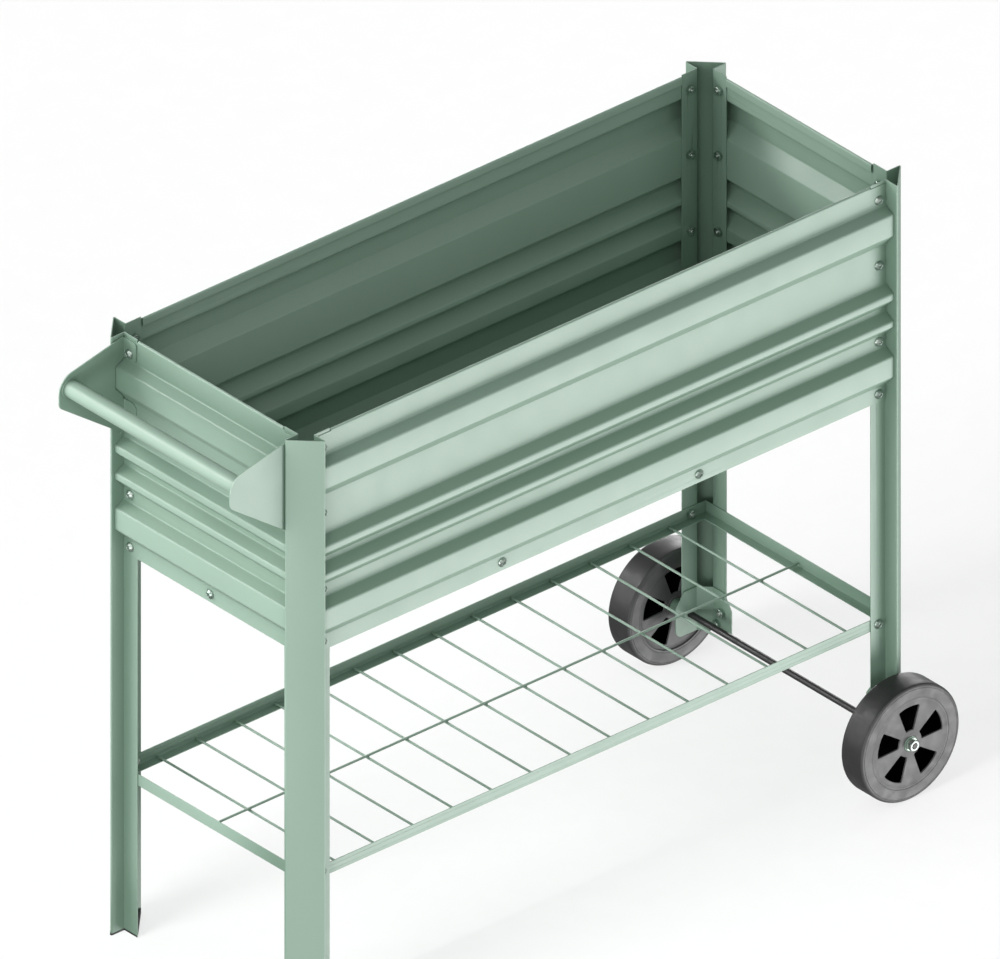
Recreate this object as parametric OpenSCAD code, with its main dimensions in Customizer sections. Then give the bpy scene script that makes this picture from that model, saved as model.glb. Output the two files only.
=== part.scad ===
// Raised sheet-metal planter on four folded corner legs.
// Corrugated panels are bolted over the legs, a wire shelf hangs between the legs,
// a push handle stands off the left end and two wheels turn on an axle at the right end.
//
// Frame: +Z up, +X along the long side towards the wheels, +Y towards the back.
// Origin: centre of the plan box, on the ground.
// Heights are measured from the ground. "Inset" is measured from a panel plane towards
// the middle of the planter, "outward" the other way.

/* [Body] */
// Length between the bolted faces of the two end panels
body_l = 900; // [860:10:960]
// Width between the bolted faces of the two long panels
body_w = 333; // [300:1:380]
// Height of the four legs
leg_h = 800; // [800:1:830]

/* [Legs] */
// Sheet thickness of the legs
leg_t = 1.2; // [1:0.1:1.4]
// Inset of the leg wall that the panel ends butt against
leg_wall_inset = 15.2; // [14.8:0.1:15.6]
// Inset of the free edge of the leg flanges
leg_flange_inset = 37.9; // [37:0.1:38]
// How far the sharp outer corner of the leg would stand outward of the panel plane
leg_reach = 20.8; // [20:0.1:21.2]
// Height at which the two wheel-end legs stop
short_leg_foot = 50; // [44:1:56]

/* [Panels] */
// Sheet thickness of the panels and floor trays
panel_t = 0.8; // [0.7:0.1:0.9]
// Depth of the corrugations
rib_depth = 14; // [10:0.5:15]
// Bend radius of the corrugations, on the middle of the sheet
rib_bend = 3; // [1.5:0.25:3.5]

/* [Floor] */
// Height of the planter floor's upper face
floor_z = 528; // [527:0.5:529]
// Distance from the left panel plane to the first floor seam, and between seams
floor_pitch = 300; // [290:1:310]
// Diameter of the drain holes
drain_d = 8; // [4:0.5:12]

/* [Handle] */
// How far the handle reaches past the left panel plane
handle_reach = 100.5; // [98:0.5:104]
// Outside diameter of the handle tube
handle_d = 22; // [18:0.5:24]
// Thickness of the handle cheek plates
cheek_t = 1.5; // [1.2:0.1:1.8]

/* [Shelf] */
// Height of the underside of the shelf frame
shelf_z = 202; // [180:1:240]
// Height of the upright flange of the shelf rails
rail_h = 16; // [15:0.5:20]
// Diameter of the shelf wires
wire_d = 3; // [2.5:0.1:3.4]
// Number of gaps along the shelf, one more than the number of cross wires
wire_gaps = 15; // [12:1:16]

/* [Wheels] */
// Radius of the tyres
wheel_r = 75; // [72:0.5:78]
// Diameter of the axle
axle_d = 8; // [8:0.1:8.2]
// Outward distance from the panel plane to the wheel's outer face
wheel_out = 56; // [54:0.5:57]

/* [Hidden] */
$fn = 64;

green = [0.60, 0.70, 0.63];
dark_green = [0.40, 0.50, 0.43];
wheel_grey = [0.30, 0.30, 0.31];
black = [0.08, 0.08, 0.08];
zinc = [0.75, 0.77, 0.75];

// Plan positions
flange_mid = (leg_wall_inset + leg_flange_inset) / 2;
axle_inset = flange_mid;
overall_l = handle_reach + body_l + wheel_r - axle_inset;
x_left = handle_reach - overall_l / 2;
x_right = x_left + body_l;
x_mid = (x_left + x_right) / 2;
x_axle = x_right - axle_inset;

// Each wall is [angle of its outward direction, centre of its plane, its length].
FRONT = [-90, [x_mid, -body_w / 2], body_l];
BACK = [90, [x_mid, body_w / 2], body_l];
LEFT = [180, [x_left, 0], body_w];
RIGHT = [0, [x_right, 0], body_w];

// Gaps and holes
cut = 1;
seam_gap = 0.4;
end_gap = 0.3;
bolt_r = 2.9;
bolt_hole_r = 3.2;
nut_hole_r = 3.05;

// Fasteners
head_r = 6;
head_h = 4;
head_edge_h = 0.8;
socket_r = 2.3;
socket_depth = 1.8;
nut_r = 5.7;
nut_h = 5;
tip_past_nut = 1.5;

// Heights of the panel bolts from the ground, top row first
BOLT_ROWS = [777, 690, 588, 518];
lip_bolt_z = 518;
shelf_bolt_z = shelf_z + 8;

// Leg section: sharp corners on the middle of the sheet, and their bend radius
leg_bend = 1;
flange_line = panel_t + leg_t / 2;
wall_line = leg_wall_inset - leg_t / 2;
reach_line = leg_reach - leg_t * (1 + sqrt(2)) / 2;
// The inner face of the leg's diagonal lies where the two insets add up to minus this
hollow_line = leg_reach - leg_wall_inset - leg_t * sqrt(2);

// Panel section: [1 for the outer plane or 0 for the inner plane, height]
PANEL_STEPS = [
    [0, 507],
    [0, 528], [1, 543], [1, 570], [0, 578],
    [0, 596], [1, 610], [1, 617], [0, 625],
    [0, 632], [1, 646], [1, 654], [0, 662],
    [0, 715], [1, 732], [1, 760], [0, 767],
    [0, 796]
];
hem_h = 8;
hem_r = 1.6;
hem_bend = 0.9 * hem_r;
hem_inset = leg_flange_inset + 1.5;

// Floor
tray_flange_h = 18;
brace_t = 1.2;
brace_w = 30;
brace_h = 13;
brace_tab_w = 26;
brace_top_setback = 8;
brace_lip_setback = 12;
corner_cut = leg_flange_inset + 1.6;
corner_play = panel_t + leg_t + 0.4;
tongue_side = leg_wall_inset - leg_t - 0.4;
tongue_tip = tongue_side + hollow_line - 0.7;
drain_row = body_w / 3.4;

// Handle
cheek_inset = 16.4;
cheek_root = 3;
cheek_tab_inset = 38;
cheek_tab_bend = 1.4;
// Heights of the cheek outline: back corner, nose from top to bottom, and the notch for the rib
cheek_top = 796.6;
nose_top = 775.2;
nose_low = 738.6;
cheek_slope = 0.73;
RIB_NOTCH = [717.5, 731.5, 761, 768.2];
// Tabs of the cheek: [lowest height, highest height, corner radius]
CHEEK_TABS = [[769, 795, 4], [668, 713, 8]];
tube_wall = 1.2;
// Outward distance and height of the handle tube's centre line
HANDLE_AXIS = [handle_reach - 16.5, 760];

// Shelf
rail_t = 1.2;
rail_w = 13;
rail_inset = panel_t + leg_t;
rail_bend = 1.1;
mitre_gap = 0.1;
wire_r = wire_d / 2;
wire_z = shelf_z + rail_t + wire_r + 0.01;

// Axle and wheels, with outward distances from the panel plane
axle_r = axle_d / 2;
axle_hole_r = axle_r + 0.15;
washer_hole_r = axle_r + 0.1;
washer_r = 8;
inner_washer_t = 1.5;
outer_washer_t = 1.2;
end_play = 0.4;
wheel_in = 19;
sleeve_in = inner_washer_t - panel_t + end_play;
sleeve_out = wheel_out + 0.5;
sleeve_r = 9.5;
sleeve_bore_r = axle_r + 0.06;
sleeve_play = 0.05;
hub_r = 13;
tyre_in_r = wheel_r - 17;
tyre_play = 0.05;
barrel_t = 3;
rim_setback = 1;
bead_round = 1;
disc_t = 2.5;
disc_recess = 2;
inner_disc_recess = 3.5;
tyre_round = 4;
window_r = [17.5, 49];
window_half = 18.5;
window_phase = 91.5;
window_count = 5;
washer_out = sleeve_out + end_play;
axle_nut_r = 7.5;
axle_nut_h = 5.5;
axle_out = washer_out + outer_washer_t + axle_nut_h + 0.4;
web_t = 2.5;

// Axle bracket
bracket_t = 1.5;
bracket_wide = 48.5;
bracket_fold = 16.5;
bracket_bend = 1.5;
bracket_top = 108;
bracket_shoulder = [88, 104];
// Bolts of the bracket's end wing: [inset, height]
BRACKET_BOLTS = [[24.5, 63], [32, 81]];

// Feet
foot_base_h = 2;
foot_h = 9;
foot_edge = 0.5;
foot_gap = 0.3;

// ---------- 2D helpers ----------

function unit(v) = v / norm(v);
function left_of(v) = [-v[1], v[0]];
function turned(v, a) = [v[0] * cos(a) - v[1] * sin(a), v[0] * sin(a) + v[1] * cos(a)];

// Arc of radius r that rounds the corner at b on the way from a to c
function corner_arc(a, b, c, r, steps = 5) =
    let (
        into = unit(b - a),
        out = unit(c - b),
        side = into[0] * out[1] - into[1] * out[0] > 0 ? 1 : -1,
        turn = acos(into * out),
        start = b - into * r * tan(turn / 2),
        centre = start + side * r * left_of(into)
    )
    [for (k = [0:steps]) centre + turned(start - centre, side * turn * k / steps)];

// Open path with its inner corners rounded, to radius r or to one radius for each point
function bent_path(pts, r, steps = 5) = concat(
    [pts[0]],
    [
        for (i = [1:len(pts) - 2])
            each corner_arc(pts[i - 1], pts[i], pts[i + 1], is_list(r) ? r[i] : r, steps)
    ],
    [pts[len(pts) - 1]]
);

// Closed outline, each point as [x, y, radius], radius 0 for a sharp corner
function rounded_outline(pts) = [
    for (i = [0:len(pts) - 1])
        let (
            n = len(pts),
            a = pts[(i + n - 1) % n],
            b = pts[i],
            c = pts[(i + 1) % n]
        )
        each (b[2] == 0
            ? [[b[0], b[1]]]
            : corner_arc([a[0], a[1]], [b[0], b[1]], [c[0], c[1]], b[2], 8))
];

// Point i of a path, moved sideways by d
function beside(path, i, d) =
    let (
        last = len(path) - 1,
        into = unit(i == 0 ? path[1] - path[0] : path[i] - path[i - 1]),
        out = unit(i == last ? path[last] - path[last - 1] : path[i + 1] - path[i]),
        mid = unit(left_of(into) + left_of(out))
    )
    path[i] + mid * d / (mid * left_of(into));

// Outline of a sheet of thickness t along a path
function sheet_outline(path, t) = concat(
    [for (i = [0:len(path) - 1]) beside(path, i, t / 2)],
    [for (i = [len(path) - 1:-1:0]) beside(path, i, -t / 2)]
);

module bent_sheet(pts, t, r) {
    polygon(sheet_outline(bent_path(pts, r), t));
}

// ---------- Placing ----------

// Wall frame: +X outward, +Y along the wall, +Z up, X = 0 on the panel plane
module on_wall(wall) {
    translate([wall[1][0], wall[1][1], 0])
        rotate([0, 0, wall[0]])
            children();
}

// Section in the X-Z plane of a wall frame, extruded along the wall
module along_wall(length) {
    rotate([90, 0, 0])
        linear_extrude(length, center = true)
            children();
}

// Corner frame: X and Y both point from the corner towards the middle of the planter
module at_corner(x_side, y_side) {
    translate([x_side < 0 ? x_left : x_right, y_side * body_w / 2, 0])
        mirror([x_side < 0 ? 0 : 1, 0, 0])
            mirror([0, y_side < 0 ? 0 : 1, 0])
                children();
}

// Child with its Z axis turned outward, at a place on a wall
module through_wall(along, z) {
    translate([0, along, z])
        rotate([0, 90, 0])
            children();
}

module bolt_hole(along, z) {
    through_wall(along, z)
        cylinder(r = bolt_hole_r, h = 2 * leg_flange_inset, center = true);
}

module box(low, high) {
    translate(low)
        cube(high - low);
}

// ---------- Legs and feet ----------

module leg_section() {
    bent_sheet([
        [leg_flange_inset, flange_line],
        [wall_line, flange_line],
        [wall_line, -reach_line],
        [-reach_line, wall_line],
        [flange_line, wall_line],
        [flange_line, leg_flange_inset]
    ], leg_t, leg_bend);
}

// Hole through the flange behind the long panel
module flange_hole_a(inset, z, r = bolt_hole_r) {
    translate([inset, 0, z])
        rotate([90, 0, 0])
            cylinder(r = r, h = 12, center = true);
}

// Hole through the flange behind the end panel
module flange_hole_b(inset, z, r = bolt_hole_r) {
    translate([0, inset, z])
        rotate([0, 90, 0])
            cylinder(r = r, h = 12, center = true);
}

module leg(low) {
    color(green)
        difference() {
            translate([0, 0, low])
                linear_extrude(leg_h - low)
                    leg_section();
            for (z = BOLT_ROWS) {
                flange_hole_a(flange_mid, z);
                flange_hole_b(flange_mid, z);
            }
            flange_hole_a(flange_mid, shelf_bolt_z);
            if (low == short_leg_foot) {
                flange_hole_a(axle_inset, wheel_r, axle_hole_r);
                for (b = BRACKET_BOLTS)
                    flange_hole_b(b[0], b[1]);
            }
        }
}

// Plastic cap: a thin sole under the sheet and a plug inside the leg
module foot() {
    sole = panel_t - foot_edge / 2;
    side = leg_wall_inset + foot_edge;
    tip = leg_reach + foot_edge * (1 + sqrt(2));
    corner = leg_bend + leg_t / 2 + foot_edge;
    edge = leg_flange_inset + foot_edge;
    plug = panel_t + leg_t + foot_gap;
    plug_side = leg_wall_inset - leg_t - foot_gap;
    plug_tip = plug_side + hollow_line - foot_gap * sqrt(2);
    plug_edge = leg_flange_inset - foot_gap;
    color(black) {
        linear_extrude(foot_base_h)
            polygon(rounded_outline([
                [edge, sole, 0], [side, sole, 0], [side, -tip, corner],
                [-tip, side, corner], [sole, side, 0], [sole, edge, 0]
            ]));
        translate([0, 0, foot_base_h - 0.01])
            linear_extrude(foot_h - foot_base_h)
                polygon([
                    [plug_edge, plug], [plug_side, plug], [plug_side, -plug_tip],
                    [-plug_tip, plug_side], [plug, plug_side], [plug, plug_edge]
                ]);
    }
}

// ---------- Panels ----------

function sheet_line(steps) = [for (s = steps) [s[0] * rib_depth - panel_t / 2, s[1]]];

module panel_section() {
    bent_sheet(sheet_line(PANEL_STEPS), panel_t, rib_bend);
}

// The same section with a safe edge folded inward along the top
module hemmed_section() {
    top = PANEL_STEPS[len(PANEL_STEPS) - 1][1];
    inner = -panel_t / 2 - 2 * hem_r;
    below_top = [for (i = [0:len(PANEL_STEPS) - 2]) PANEL_STEPS[i]];
    line = concat(
        sheet_line(below_top),
        [[-panel_t / 2, top + hem_r], [inner, top + hem_r], [inner, top - hem_h]]
    );
    last = len(below_top) - 1;
    bent_sheet(line, panel_t, [for (i = [0:len(line) - 1]) i > last ? hem_bend : rib_bend]);
}

module panel(wall, lip_bolts) {
    span = wall[2];
    panel_inset = leg_wall_inset + end_gap;
    color(green)
        on_wall(wall)
            difference() {
                union() {
                    along_wall(span - 2 * hem_inset)
                        hemmed_section();
                    for (end = [-1, 1])
                        translate([0, end * (span - hem_inset - panel_inset) / 2, 0])
                            along_wall(hem_inset - panel_inset)
                                panel_section();
                }
                for (end = [-1, 1], z = BOLT_ROWS)
                    bolt_hole(end * (span / 2 - flange_mid), z);
                for (along = lip_bolts)
                    bolt_hole(along, lip_bolt_z);
            }
}

// Places of the lip bolts along the long and the end walls
seams_along = [for (i = [1, 2]) i * floor_pitch - body_l / 2];
long_lip_bolts = seams_along;
back_lip_bolts = [for (a = seams_along) -a];
end_lip_bolts = [0];

// ---------- Floor ----------

// Corner frame shape that the leg leaves free in the floor, and the tongue inside the leg
module floor_corner_cut() {
    box([-cut, -cut, floor_z - 2 * tray_flange_h], [corner_cut, corner_play, floor_z + cut]);
    box([-cut, -cut, floor_z - 2 * tray_flange_h], [corner_play, corner_cut, floor_z + cut]);
}

module floor_tongue() {
    root = corner_play + 0.6;
    translate([0, 0, floor_z - panel_t])
        linear_extrude(panel_t)
            polygon([
                [root, root], [tongue_side, root], [tongue_side, -tongue_tip],
                [-tongue_tip, tongue_side], [root, tongue_side]
            ]);
}

// Tray between two distances from the left panel plane; end is -1, 0 or 1 for the outer flange
module floor_tray(from, to, end) {
    low = floor_z - tray_flange_h;
    side = body_w / 2 - panel_t;
    x0 = x_left + from;
    x1 = x_left + to;
    drain_pitch = (to - from) / 3;
    color(dark_green)
        difference() {
            union() {
                difference() {
                    union() {
                        translate([(x0 + x1) / 2, 0, 0])
                            rotate([0, 0, 90])
                                along_wall(x1 - x0)
                                    bent_sheet([
                                        [-side + panel_t / 2, low],
                                        [-side + panel_t / 2, floor_z - panel_t / 2],
                                        [side - panel_t / 2, floor_z - panel_t / 2],
                                        [side - panel_t / 2, low]
                                    ], panel_t, 1);
                        if (end < 0)
                            box([x0, -body_w / 2 + corner_cut, low],
                                [x0 + panel_t, body_w / 2 - corner_cut, floor_z]);
                        if (end > 0)
                            box([x1 - panel_t, -body_w / 2 + corner_cut, low],
                                [x1, body_w / 2 - corner_cut, floor_z]);
                    }
                    if (end != 0)
                        for (y_side = [-1, 1])
                            at_corner(end, y_side)
                                floor_corner_cut();
                }
                if (end != 0)
                    for (y_side = [-1, 1])
                        at_corner(end, y_side)
                            floor_tongue();
            }
            for (a = seams_along)
                translate([x_mid + a, 0, lip_bolt_z])
                    rotate([90, 0, 0])
                        cylinder(r = bolt_hole_r, h = body_w, center = true);
            if (end != 0)
                translate([end < 0 ? x0 : x1, 0, lip_bolt_z])
                    rotate([0, 90, 0])
                        cylinder(r = bolt_hole_r, h = 10, center = true);
            for (i = [0:2], y = [-1, 0, 1])
                translate([x0 + (i + 0.5) * drain_pitch, y * drain_row, floor_z - 3 * panel_t])
                    cylinder(d = drain_d, h = 6 * panel_t);
        }
}

// Channel across the planter under a floor seam, with a tab at each end
module floor_brace(from_left) {
    top = floor_z - panel_t;
    half = body_w / 2 - 2 * panel_t;
    half_top = half - brace_top_setback;
    half_lip = half - brace_lip_setback;
    x = x_left + from_left;
    color(dark_green)
        difference() {
            union() {
                box([x - brace_w / 2, -half_top, top - brace_t], [x + brace_w / 2, half_top, top]);
                box([x - brace_tab_w / 2, -half, top - brace_t], [x + brace_tab_w / 2, half, top]);
                for (s = [-1, 1]) {
                    edge = x + s * (brace_w - brace_t) / 2;
                    box([edge - brace_t / 2, -half_lip, top - brace_h],
                        [edge + brace_t / 2, half_lip, top]);
                    end = s * (half - brace_t / 2);
                    box([x - brace_tab_w / 2, end - brace_t / 2, floor_z - tray_flange_h],
                        [x + brace_tab_w / 2, end + brace_t / 2, top]);
                }
            }
            translate([x, 0, lip_bolt_z])
                rotate([90, 0, 0])
                    cylinder(r = bolt_hole_r, h = body_w, center = true);
        }
}

// ---------- Handle ----------

// Cheek plate in the corner frame, with X negative outward of the end panel.
// Its inner edge steps around the upper rib of the end panel.
module cheek_outline() {
    clear_rib = rib_depth + 1.2;
    polygon(rounded_outline([
        [-cheek_root, cheek_top, 0],
        [-handle_reach, nose_top, 24],
        [-handle_reach, nose_low, 10],
        [-cheek_root, nose_low - cheek_slope * (handle_reach - cheek_root), 0],
        [-cheek_root, RIB_NOTCH[0], 0],
        [-clear_rib, RIB_NOTCH[1], 0],
        [-clear_rib, RIB_NOTCH[2], 0],
        [-cheek_root, RIB_NOTCH[3], 0]
    ]));
}

// Tab folded from the cheek onto the flat band of the end panel between two heights
module cheek_tab(low, high, corner_r) {
    intersection() {
        translate([0, 0, low])
            linear_extrude(high - low)
                bent_sheet([
                    [-cheek_root - 4, cheek_inset + cheek_t / 2],
                    [-cheek_t / 2, cheek_inset + cheek_t / 2],
                    [-cheek_t / 2, cheek_tab_inset]
                ], cheek_t, cheek_tab_bend);
        rotate([90, 0, 90])
            linear_extrude(40, center = true)
                polygon(rounded_outline([
                    [cheek_inset - cut, low, 0],
                    [cheek_tab_inset, low, corner_r],
                    [cheek_tab_inset, high, corner_r],
                    [cheek_inset - cut, high, 0]
                ]));
    }
}

module handle_cheek() {
    color(green)
        difference() {
            union() {
                translate([0, cheek_inset + cheek_t, 0])
                    rotate([90, 0, 0])
                        linear_extrude(cheek_t)
                            cheek_outline();
                for (tab = CHEEK_TABS)
                    cheek_tab(tab[0], tab[1], tab[2]);
            }
            for (i = [0, 1])
                flange_hole_b(flange_mid, BOLT_ROWS[i]);
        }
}

module handle_tube() {
    span = body_w - 2 * (cheek_inset + cheek_t);
    color(green)
        translate([x_left - HANDLE_AXIS[0], 0, HANDLE_AXIS[1]])
            rotate([90, 0, 0])
                difference() {
                    cylinder(d = handle_d, h = span, center = true);
                    cylinder(d = handle_d - 2 * tube_wall, h = span + cut, center = true);
                }
}

// ---------- Shelf ----------

// Angle rail inside the leg flanges, mitred at both ends
module shelf_rail(wall, bolted) {
    span = wall[2];
    reach = 30;
    half = span / 2 - mitre_gap;
    color(green)
        on_wall(wall)
            difference() {
                intersection() {
                    along_wall(span)
                        bent_sheet([
                            [-rail_inset - rail_t / 2, shelf_z + rail_h],
                            [-rail_inset - rail_t / 2, shelf_z + rail_t / 2],
                            [-rail_inset - rail_w, shelf_z + rail_t / 2]
                        ], rail_t, rail_bend);
                    translate([0, 0, shelf_z - cut])
                        linear_extrude(rail_h + 2 * cut)
                            polygon([[0, -half], [0, half], [-reach, half - reach], [-reach, reach - half]]);
                }
                if (bolted)
                    for (end = [-1, 1])
                        bolt_hole(end * (span / 2 - flange_mid), shelf_bolt_z);
            }
}

module shelf_cross_wires() {
    span = body_w - 2 * (rail_inset + rail_t + 0.1);
    color(green)
        for (i = [1:wire_gaps - 1])
            translate([x_left + i * body_l / wire_gaps, 0, wire_z])
                rotate([90, 0, 0])
                    cylinder(r = wire_r, h = span, center = true);
}

module shelf_long_wire() {
    span = body_l - 2 * (rail_inset + rail_t + 0.1);
    color(green)
        translate([x_mid, 0, wire_z + wire_d + 0.01])
            rotate([0, 90, 0])
                cylinder(r = wire_r, h = span, center = true);
}

// ---------- Axle and wheels ----------

// Child with its Z axis along the axle, Z = 0 on the long panel's plane and Z outward
module on_axle(y_side) {
    translate([x_axle, y_side * body_w / 2, wheel_r])
        rotate([y_side < 0 ? 90 : -90, 0, 0])
            children();
}

module ring(r_in, r_out, low, high) {
    translate([0, 0, low])
        difference() {
            cylinder(r = r_out, h = high - low);
            translate([0, 0, -cut])
                cylinder(r = r_in, h = high - low + 2 * cut);
        }
}

module axle() {
    color(black)
        translate([x_axle, 0, wheel_r])
            rotate([90, 0, 0])
                cylinder(r = axle_r, h = body_w + 2 * axle_out, center = true);
}

module axle_inner_washers() {
    color(zinc)
        for (y_side = [-1, 1])
            on_axle(y_side)
                ring(washer_hole_r, washer_r, -panel_t, inner_washer_t - panel_t);
}

module axle_outer_washers() {
    color(zinc)
        for (y_side = [-1, 1])
            on_axle(y_side)
                ring(washer_hole_r, washer_r, washer_out, washer_out + outer_washer_t);
}

module axle_nuts() {
    low = washer_out + outer_washer_t;
    color(zinc)
        for (y_side = [-1, 1])
            on_axle(y_side)
                difference() {
                    translate([0, 0, low])
                        cylinder(r = axle_nut_r, h = axle_nut_h, $fn = 6);
                    translate([0, 0, low - cut])
                        cylinder(r = washer_hole_r, h = axle_nut_h + 2 * cut);
                }
}

// One window of the wheel disc, as a sector with straight sides
module window(angle) {
    arc = [for (k = [0:8]) angle + window_half * (k / 4 - 1)];
    polygon(concat(
        [for (a = arc) window_r[1] * [cos(a), sin(a)]],
        [for (k = [8:-1:0]) window_r[0] * [cos(arc[k]), sin(arc[k])]]
    ));
}

// Hollow wheel body: hub, two discs with windows, a closed web between them and the barrel
module wheel(y_side) {
    barrel_r = tyre_in_r - barrel_t;
    disc_out = wheel_out - disc_recess;
    disc_in = wheel_in + inner_disc_recess;
    web_mid = (disc_out + disc_in) / 2;
    turn = 360 / window_count;
    color(wheel_grey)
        on_axle(y_side) {
            ring(sleeve_r + sleeve_play, hub_r, disc_in, disc_out);
            ring(barrel_r, tyre_in_r, wheel_in + rim_setback, wheel_out - rim_setback);
            ring(hub_r - cut, barrel_r + cut, web_mid - web_t / 2, web_mid + web_t / 2);
            difference() {
                for (low = [disc_in, disc_out - disc_t])
                    ring(hub_r - cut, barrel_r + cut, low, low + disc_t);
                for (i = [1:window_count])
                    translate([0, 0, disc_in - cut])
                        linear_extrude(disc_out - disc_in + 2 * cut)
                            window(turn * i - y_side * window_phase);
            }
        }
}

module tyre(y_side) {
    in_r = tyre_in_r + tyre_play;
    color(wheel_grey)
        on_axle(y_side)
            rotate_extrude()
                polygon(rounded_outline([
                    [in_r, wheel_in, bead_round],
                    [wheel_r, wheel_in, tyre_round],
                    [wheel_r, wheel_out, tyre_round],
                    [in_r, wheel_out, bead_round]
                ]));
}

// Steel sleeve pressed through the wheel's hub, which turns on the axle
module wheel_sleeve(y_side) {
    color(green)
        on_axle(y_side)
            ring(sleeve_bore_r, sleeve_r, sleeve_in, sleeve_out);
}

// Outline of one wing of the axle bracket: x is the inset, y the height
module bracket_wing() {
    polygon(rounded_outline([
        [0, short_leg_foot, 0],
        [bracket_wide, short_leg_foot, 10],
        [bracket_wide, bracket_shoulder[0], 6],
        [leg_flange_inset, bracket_shoulder[1], 6],
        [leg_flange_inset, bracket_top, 4],
        [0, bracket_top, 0]
    ]));
}

module bracket_wing_cut() {
    translate([0, bracket_wide, 0])
        rotate([90, 0, 0])
            linear_extrude(bracket_wide)
                bracket_wing();
}

// Folded plate that ties the two flanges of a wheel-end leg and carries the axle
module axle_bracket() {
    line = rail_inset + bracket_t / 2;
    color(green)
        difference() {
            intersection() {
                translate([0, 0, short_leg_foot])
                    linear_extrude(bracket_top - short_leg_foot)
                        bent_sheet([
                            [bracket_wide, line],
                            [bracket_fold, line],
                            [line, bracket_fold],
                            [line, bracket_wide]
                        ], bracket_t, bracket_bend);
                bracket_wing_cut();
                mirror([1, -1, 0])
                    bracket_wing_cut();
            }
            flange_hole_a(axle_inset, wheel_r, axle_hole_r);
            for (b = BRACKET_BOLTS)
                flange_hole_b(b[0], b[1]);
        }
}

// ---------- Fasteners ----------

// Domed bolt with its head seated at an outward distance and its tip past the nut
module bolt(head_at, nut_at) {
    crown = (head_r * head_r + pow(head_h - head_edge_h, 2)) / (2 * (head_h - head_edge_h));
    tip = nut_at - nut_h - tip_past_nut;
    translate([0, 0, tip])
        cylinder(r = bolt_r, h = head_at - tip + 0.2);
    translate([0, 0, head_at])
        difference() {
            intersection() {
                cylinder(r = head_r, h = head_h);
                translate([0, 0, head_h - crown])
                    sphere(r = crown);
            }
            translate([0, 0, head_h - socket_depth])
                cylinder(r = socket_r, h = socket_depth + cut, $fn = 6);
        }
}

module nut(nut_at) {
    translate([0, 0, nut_at - nut_h])
        difference() {
            cylinder(r = nut_r, h = nut_h, $fn = 6);
            translate([0, 0, -cut])
                cylinder(r = nut_hole_r, h = nut_h + 2 * cut);
        }
}

// Outward distances of the faces that the heads and nuts seat on
flange_back = -panel_t - leg_t;
tray_back = -2 * panel_t;
brace_back = -2 * panel_t - brace_t;
rail_back = -rail_inset - rail_t;
bracket_back = -rail_inset - bracket_t;

// Fastener places on one wall: [along, height, head seat, nut seat]
function row_places(wall, rows) = [
    for (end = [-1, 1], z = rows)
        [end * (wall[2] / 2 - flange_mid), z, 0, flange_back]
];
function lip_places(places, nut_seat) = [for (a = places) [a, lip_bolt_z, 0, nut_seat]];

FRONT_PLACES = concat(row_places(FRONT, BOLT_ROWS), lip_places(long_lip_bolts, brace_back));
BACK_PLACES = concat(row_places(BACK, BOLT_ROWS), lip_places(back_lip_bolts, brace_back));
RIGHT_PLACES = concat(row_places(RIGHT, BOLT_ROWS), lip_places(end_lip_bolts, tray_back));
LEFT_PLACES = concat(
    row_places(LEFT, [BOLT_ROWS[2], BOLT_ROWS[3]]),
    lip_places(end_lip_bolts, tray_back)
);
HANDLE_PLACES = [
    for (end = [-1, 1], i = [0, 1])
        [end * (body_w / 2 - flange_mid), BOLT_ROWS[i], cheek_t, flange_back]
];
SHELF_PLACES = [
    for (end = [-1, 1])
        [end * (body_l / 2 - flange_mid), shelf_bolt_z, -panel_t, rail_back]
];
BRACKET_PLACES = [
    for (end = [-1, 1], b = BRACKET_BOLTS)
        [end * (body_w / 2 - b[0]), b[1], -panel_t, bracket_back]
];

module bolts(wall, places) {
    color(zinc)
        on_wall(wall)
            for (p = places)
                through_wall(p[0], p[1])
                    bolt(p[2], p[3]);
}

module nuts(wall, places) {
    color(zinc)
        on_wall(wall)
            for (p = places)
                through_wall(p[0], p[1])
                    nut(p[3]);
}

// ---------- Named pieces ----------

module leg_front_left() { at_corner(-1, -1) leg(foot_base_h); }
module leg_back_left() { at_corner(-1, 1) leg(foot_base_h); }
module leg_front_right() { at_corner(1, -1) leg(short_leg_foot); }
module leg_back_right() { at_corner(1, 1) leg(short_leg_foot); }
module foot_front_left() { at_corner(-1, -1) foot(); }
module foot_back_left() { at_corner(-1, 1) foot(); }
module front_panel() { panel(FRONT, long_lip_bolts); }
module back_panel() { panel(BACK, back_lip_bolts); }
module left_panel() { panel(LEFT, end_lip_bolts); }
module right_panel() { panel(RIGHT, end_lip_bolts); }
module floor_tray_left() { floor_tray(panel_t, floor_pitch - seam_gap / 2, -1); }
module floor_tray_middle() {
    floor_tray(floor_pitch + seam_gap / 2, 2 * floor_pitch - seam_gap / 2, 0);
}
module floor_tray_right() { floor_tray(2 * floor_pitch + seam_gap / 2, body_l - panel_t, 1); }
module floor_brace_left() { floor_brace(floor_pitch); }
module floor_brace_right() { floor_brace(2 * floor_pitch); }
module handle_cheek_front() { at_corner(-1, -1) handle_cheek(); }
module handle_cheek_back() { at_corner(-1, 1) handle_cheek(); }
module shelf_rail_front() { shelf_rail(FRONT, true); }
module shelf_rail_back() { shelf_rail(BACK, true); }
module shelf_rail_left() { shelf_rail(LEFT, false); }
module shelf_rail_right() { shelf_rail(RIGHT, false); }
module axle_bracket_front() { at_corner(1, -1) axle_bracket(); }
module axle_bracket_back() { at_corner(1, 1) axle_bracket(); }
module wheel_front() { wheel(-1); }
module wheel_back() { wheel(1); }
module tyre_front() { tyre(-1); }
module tyre_back() { tyre(1); }
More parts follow.
